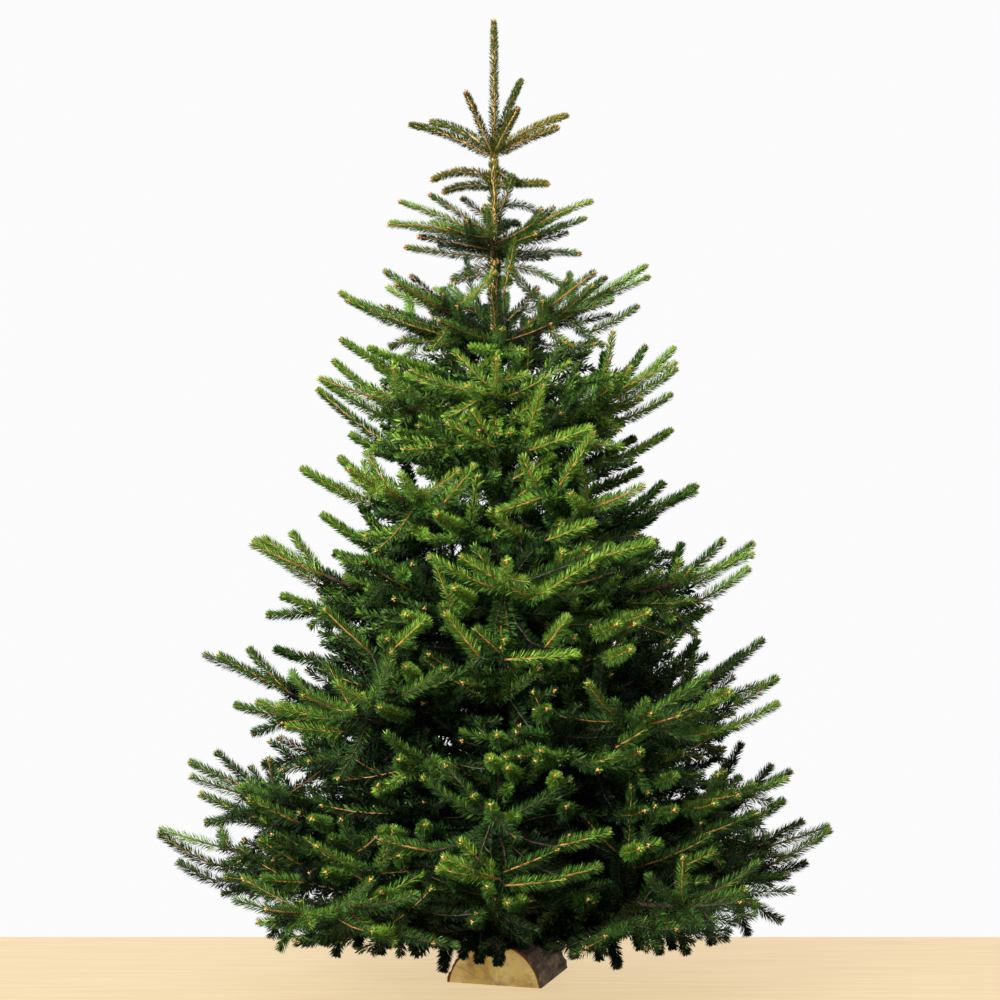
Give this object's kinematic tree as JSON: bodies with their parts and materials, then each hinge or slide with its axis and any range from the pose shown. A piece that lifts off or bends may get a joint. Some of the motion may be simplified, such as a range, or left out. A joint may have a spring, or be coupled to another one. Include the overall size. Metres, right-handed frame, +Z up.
{
  "type": "christmas tree",
  "caption": "Cut spruce Christmas tree, undecorated, with whorls of needled boughs round a straight trunk that stands in a halved log.",
  "frame": {"origin": "middle of the flat underside of the halved log, on the floor", "axes": "+Z up along the trunk to the leader's tip, +X to the right and -Y to the front of the tree as it stands"},
  "size_m": [1.2772, 1.2465, 1.75],
  "materials": {
    "log": "sawn log, bark left on the round side",
    "trunk_bark": "thin scaly spruce bark",
    "bough_bark": "thin spruce bark on boughs",
    "needles": "dense short needles on twigs",
    "top_needles": "this year's lighter needles"
  },
  "bodies": {
    "root": {"crown_top": "top_needles", "log_stand": "log", "tier_2_back_left_foliage": "needles", "tier_2_back_right_foliage": "needles", "tier_2_front_foliage": "needles", "tier_2_left_foliage": "needles", "tier_2_right_foliage": "needles", "tier_3_back_foliage": "needles", "tier_3_front_left_foliage": "needles", "tier_3_front_right_foliage": "needles", "tier_3_left_foliage": "needles", "tier_3_right_foliage": "needles", "tier_4_back_left_foliage": "needles", "tier_4_back_right_foliage": "needles", "tier_4_front_foliage": "needles", "tier_4_left_foliage": "needles", "tier_4_right_foliage": "needles", "tier_5_back_foliage": "needles", "tier_5_front_left_foliage": "needles", "tier_5_front_right_foliage": "needles", "tier_5_left_foliage": "needles", "tier_5_right_foliage": "needles", "tier_6_back_left_foliage": "needles", "tier_6_back_right_foliage": "needles", "tier_6_front_foliage": "needles", "tier_6_left_foliage": "needles", "tier_6_right_foliage": "needles", "tier_7_back_bough": "bough_bark", "tier_7_back_foliage": "needles", "tier_7_front_left_bough": "bough_bark", "tier_7_front_left_foliage": "needles", "tier_7_front_right_bough": "bough_bark", "tier_7_front_right_foliage": "needles", "tier_7_left_bough": "bough_bark", "tier_7_left_foliage": "needles", "tier_7_right_bough": "bough_bark", "tier_7_right_foliage": "needles", "tier_8_back_left_bough": "bough_bark", "tier_8_back_left_foliage": "needles", "tier_8_back_right_bough": "bough_bark", "tier_8_back_right_foliage": "needles", "tier_8_front_bough": "bough_bark", "tier_8_front_foliage": "needles", "tier_8_left_bough": "bough_bark", "tier_8_left_foliage": "needles", "tier_8_right_bough": "bough_bark", "tier_8_right_foliage": "needles", "tier_9_back_bough": "bough_bark", "tier_9_back_foliage": "needles", "tier_9_front_left_bough": "bough_bark", "tier_9_front_left_foliage": "needles", "tier_9_front_right_bough": "bough_bark", "tier_9_front_right_foliage": "needles", "tier_9_left_bough": "bough_bark", "tier_9_left_foliage": "needles", "tier_9_right_bough": "bough_bark", "tier_9_right_foliage": "needles", "trunk": "trunk_bark", "upper_shoot_left": "top_needles", "upper_shoot_right": "top_needles"}
  },
  "joints": []
}
